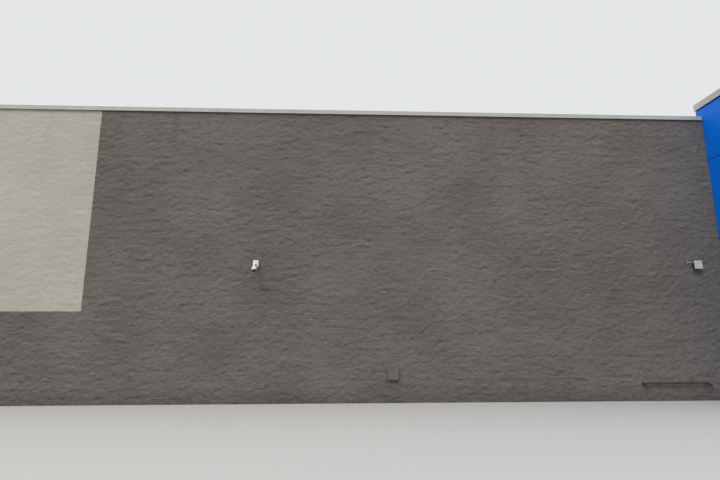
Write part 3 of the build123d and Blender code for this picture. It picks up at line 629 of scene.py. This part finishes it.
def block_walls():
    """Every block wall, with the broken faces of its blocks in relief."""
    outer_sides = {
        "front_wall_base": ("front", "left"),
        "front_wall_light": ("front", "left"),
        "front_wall_grey": ("front",),
        "entrance_wall_left": ("front",),
        "entrance_wall_right": ("front",),
        "left_wall_base": ("left",),
        "left_wall_light": ("left",),
        "right_wall_base": ("right",),
        "right_wall_light": ("right",),
        "back_wall_base_left": ("back", "left"),
        "back_wall_base_right": ("back", "right"),
        "back_wall_light": ("back", "left", "right"),
    }
    for node_name, outer in outer_sides.items():
        low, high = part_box(node_name)
        spans = [(low, high)]
        if node_name == "front_wall_grey":
            split = bond_split(low[0], high[0])
            spans = [(low, (split, high[1], high[2])), ((split, low[1], low[2]), high)]
        holes = outlet_holes() if node_name == "back_wall_light" else ()
        for n, (a, b) in enumerate(spans):
            name = node_name + "_blocks" + (f"_{n + 1}" if len(spans) > 1 else "")
            share = thick_coat if node_slots[node_name] == "painted_block_light" else 1.0
            mesh = split_face_wall(name, a, b, outer, node_name.startswith("front"), share, holes)
            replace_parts(shown_piece(mesh, node_slots[node_name]), node_name)


def outlet_holes():
    """Left, right, bottom and top of each opening that the back wall's frame node has."""
    mesh = cad["back_wall_light"].data
    low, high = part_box("back_wall_light")
    margin = 0.01
    places = {(round(v.co.x, 4), round(v.co.z, 4)) for v in mesh.vertices}
    inside = [(x, z) for x, z in places
              if low[0] + margin < x < high[0] - margin and low[2] + margin < z < high[2] - margin]
    xs = sorted({x for x, _ in inside})
    zs = sorted({z for _, z in inside})
    return [(left, right, zs[0], zs[-1]) for left, right in zip(xs[::2], xs[1::2])]


def bond_split(low, high):
    """A joint line near the middle of a stretch of the front."""
    middle = (low + high) / 2 + front_line - bond_start
    return round(middle / block) * block + bond_start - front_line


block_walls()


# Screws, bolts and softened edges

def bolt_heads(name, places, facing, radius, rise):
    """Six-sided galvanised heads with chamfered tops, each standing on a surface at its place."""
    out = Vector(facing)
    across = out.orthogonal().normalized()
    up = out.cross(across)
    sides = 6
    rings = ((1.0, 0.0), (1.0, 0.7), (0.82, 1.0))
    points, faces = [], []
    for spot in places:
        first = len(points)
        for share, height in rings:
            for n in range(sides):
                turn = math.tau * n / sides
                arm = across * math.cos(turn) + up * math.sin(turn)
                points.append(Vector(spot) + arm * radius * share + out * rise * height)
        for ring in range(len(rings) - 1):
            for n in range(sides):
                a, b = first + ring * sides + n, first + ring * sides + (n + 1) % sides
                faces.append((a, b, b + sides, a + sides))
        faces.append(tuple(range(first, first + sides))[::-1])
        faces.append(tuple(range(len(points) - sides, len(points))))
    mesh = bpy.data.meshes.new(name)
    mesh.from_pydata(points, [], faces)
    shown_piece(mesh, "galvanised_steel")


def corner_spots(node_name, inset):
    """The four places near the corners of a piece's front face."""
    low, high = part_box(node_name)
    xs = (low[0] + inset, high[0] - inset)
    zs = (low[2] + inset, high[2] - inset)
    return [(x, low[1], z) for x in xs for z in zs]


def levels(node_name, axis, where):
    """The different coordinates along one axis of those corners of a piece that a test picks."""
    found = sorted(v.co[axis] for v in cad[node_name].data.vertices if where(v.co))
    return [c for n, c in enumerate(found) if n == 0 or c - found[n - 1] > 0.001]


# Radius and height of the heads, and how far they sit in from an edge
cover_screw = (0.005, 0.002)
hatch_screw = (0.006, 0.003)
strap_anchor = (0.008, 0.006)
column_nut = (0.018, 0.022)
camera_box_inset = 0.014
light_cover_inset = 0.016
hatch_inset = 0.032
base_plate_inset = 0.05

# Thickness of the pipe straps and of the columns' base plates, and how many columns stand in the row
strap_thickness = 0.006
base_plate_thickness = 0.025
column_count = 3


def fixings():
    """Screws of the box, the cover and the hatch, anchors of the pipe straps and nuts of the columns."""
    front = (0.0, -1.0, 0.0)
    bolt_heads("camera_box_screws", corner_spots("camera_box", camera_box_inset), front, *cover_screw)
    bolt_heads("hatch_screws", corner_spots("wall_hatch", hatch_inset), front, *hatch_screw)
    bolt_heads("cover_screws", corner_spots("wall_light_cover", light_cover_inset), front, *cover_screw)
    strap_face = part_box("back_wall_light")[1][1] + strap_thickness

    def on_strap(co):
        return abs(co.y - strap_face) < hair

    xs, zs = levels("downspouts", 0, on_strap), levels("downspouts", 2, on_strap)
    anchors = [((a + b) / 2, strap_face, (c + d) / 2)
               for a, b in zip(xs[::2], xs[1::2]) for c, d in zip(zs[::2], zs[1::2])]
    bolt_heads("strap_anchors", anchors, (0.0, 1.0, 0.0), *strap_anchor)
    plate_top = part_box("floor_slab")[1][2] + base_plate_thickness

    def on_plate(co):
        return abs(co.z - plate_top) < hair

    xs, ys = levels("roof_columns", 0, on_plate), levels("roof_columns", 1, on_plate)
    count = len(xs) // column_count
    plates = [(xs[n], xs[n + count - 1]) for n in range(0, len(xs), count)]
    nut_xs = [x for left, right in plates for x in (left + base_plate_inset, right - base_plate_inset)]
    nut_ys = (ys[0] + base_plate_inset, ys[-1] - base_plate_inset)
    nuts = [(x, y, plate_top) for x in nut_xs for y in nut_ys]
    bolt_heads("column_anchor_nuts", nuts, (0.0, 0.0, 1.0), *column_nut)


crisp_angle = math.radians(35)


def soften_edges():
    """Narrow rounded edges on folded sheet, mouldings, frames and panels."""
    widths = {
        "coping_light": 0.002,
        "portal_blue": 0.003,
        "anodised_aluminium": 0.0015,
        "white_plastic": 0.003,
        "grey_cover": 0.004,
        "light_diffuser": 0.006,
        "charcoal_casting": 0.004,
        "grey_painted_metal": 0.002,
        "dark_painted_steel": 0.0015,
        "concrete": 0.004,
        "soffit_white": 0.002,
    }
    for node_name, slot_name in node_slots.items():
        if slot_name in widths:
            weld = cad[node_name].modifiers.new("weld", "WELD")
            weld.merge_threshold = 1e-5
            bevel = cad[node_name].modifiers.new("bevel", "BEVEL")
            bevel.width = widths[slot_name]
            bevel.segments = 2
            bevel.limit_method = "ANGLE"
            bevel.angle_limit = crisp_angle


def smooth_round_parts():
    """Even shading over the flat-sided bars and bowls, with their real edges kept crisp."""
    group = bpy.data.node_groups.new("smooth_faces", "GeometryNodeTree")
    for way in ("INPUT", "OUTPUT"):
        group.interface.new_socket("Shape", in_out=way, socket_type="NodeSocketGeometry")
    shape = add(group, "GroupInput", family="Node")
    smooth = add(group, "SetShadeSmooth", {"Geometry": shape}, family="GeometryNode")
    add(group, "GroupOutput", {0: smooth}, family="Node")
    for node_name in ("camera_housing", "camera_dome", "wall_rail", "wall_light_conduit", "goods_shutter"):
        if not cad[node_name].modifiers:
            weld = cad[node_name].modifiers.new("weld", "WELD")
            weld.merge_threshold = 1e-5
        cad[node_name].modifiers.new("smooth_faces", "NODES").node_group = group
        split = cad[node_name].modifiers.new("crisp_edges", "EDGE_SPLIT")
        split.split_angle = crisp_angle
        even = cad[node_name].modifiers.new("even_shading", "WEIGHTED_NORMAL")
        even.keep_sharp = True


fixings()
soften_edges()
smooth_round_parts()


# Camera: the photograph's view, found from the wall's edges

lens_mm = 25.0
sensor_mm = 36.0
eye_height = 1.627
eye_from_wall = 13.948
eye_from_portal = 11.18
look_up = math.radians(11.45)
look_right = math.radians(2.472)
lean = math.radians(-0.145)


def photo_camera():
    """The camera at the photographer's eye, in front of the grey stretch."""
    forward = Vector((math.sin(look_right) * math.cos(look_up), math.cos(look_right) * math.cos(look_up),
                      math.sin(look_up)))
    right = Vector((math.cos(look_right), -math.sin(look_right), 0.0))
    up = right.cross(forward)
    leaned_right = right * math.cos(lean) + up * math.sin(lean)
    leaned_up = up * math.cos(lean) - right * math.sin(lean)
    turn = Matrix((leaned_right, leaned_up, -forward)).transposed().to_4x4()
    data = bpy.data.cameras.new("photo_camera")
    data.lens = lens_mm
    data.sensor_width = sensor_mm
    data.clip_end = 2.0 * floor_radius
    camera = bpy.data.objects.new("photo_camera", data)
    eye = Vector((portal_line - eye_from_portal, front_line - eye_from_wall, eye_height))
    camera.matrix_world = Matrix.Translation(eye) @ turn
    bpy.context.scene.collection.objects.link(camera)
    bpy.context.scene.camera = camera


# Studio: pale floor, soft sky-like light

backdrop_shade = "#e4e6e8"
floor_shade = "#a5a4a1"
floor_bounce = "#7d7c78"
floor_radius = 1500.0
floor_sides = 96
dome_low, dome_high = 0.68, 1.82
lamp_power = 1.6
lamp_spread = math.radians(20)
lamp_aim = Vector((0.4, 0.6, -1.0))


def studio():
    """A pale floor, a soft dome that is brighter overhead, and a wide soft lamp from the upper left."""
    scene = bpy.context.scene
    scene.view_settings.view_transform = "Standard"
    world = bpy.data.worlds.new("studio")
    world.use_nodes = True
    tree = world.node_tree
    tree.nodes.clear()
    height = add(tree, "SeparateXYZ", {0: add(tree, "TexCoord")}, out=2)
    level = add(tree, "MapRange", {"Value": height, "To Min": dome_low, "To Max": dome_high})
    dome = add(tree, "Background", {"Color": colour("#fafbff"), "Strength": level})
    shown = add(tree, "Background", {"Color": colour(backdrop_shade), "Strength": 1.0})
    mixed = add(tree, "MixShader", {0: seen_directly(tree), 1: dome, 2: shown})
    add(tree, "OutputWorld", {"Surface": mixed})
    scene.world = world
    lamp = bpy.data.lights.new("soft_lamp", "SUN")
    lamp.energy = lamp_power
    lamp.angle = lamp_spread
    lamp.color = colour("#fffdf8")[:3]
    hung = bpy.data.objects.new("soft_lamp", lamp)
    hung.rotation_euler = lamp_aim.to_track_quat("-Z", "Y").to_euler()
    scene.collection.objects.link(hung)
    mesh = bpy.data.meshes.new("studio_floor")
    turns = [math.tau * n / floor_sides for n in range(floor_sides)]
    rim = [(floor_radius * math.cos(turn), floor_radius * math.sin(turn), 0.0) for turn in turns]
    mesh.from_pydata(rim, [], [tuple(range(floor_sides))])
    floor = bpy.data.objects.new("studio_floor", mesh)
    scene.collection.objects.link(floor)
    paint = bpy.data.materials.new("studio_floor")
    paint.use_nodes = True
    tree = paint.node_tree
    tree.nodes.clear()
    shade = add(tree, "Mix", {0: seen_directly(tree), 6: colour(floor_bounce), 7: colour(floor_shade)},
                out=2, data_type="RGBA")
    surface = add(tree, "BsdfPrincipled", {"Base Color": shade, "Roughness": 0.9})
    add(tree, "OutputMaterial", {"Surface": surface})
    mesh.materials.append(paint)


def seen_directly(tree):
    """1 for what the eye, a mirror or a pane of glass shows, and 0 for light that bounces."""
    ray = add(tree, "LightPath").node.outputs
    either = add(tree, "Math", {0: ray["Is Camera Ray"], 1: ray["Is Glossy Ray"]}, operation="MAXIMUM")
    return add(tree, "Math", {0: either, 1: ray["Is Transmission Ray"]}, operation="MAXIMUM")


photo_camera()
studio()
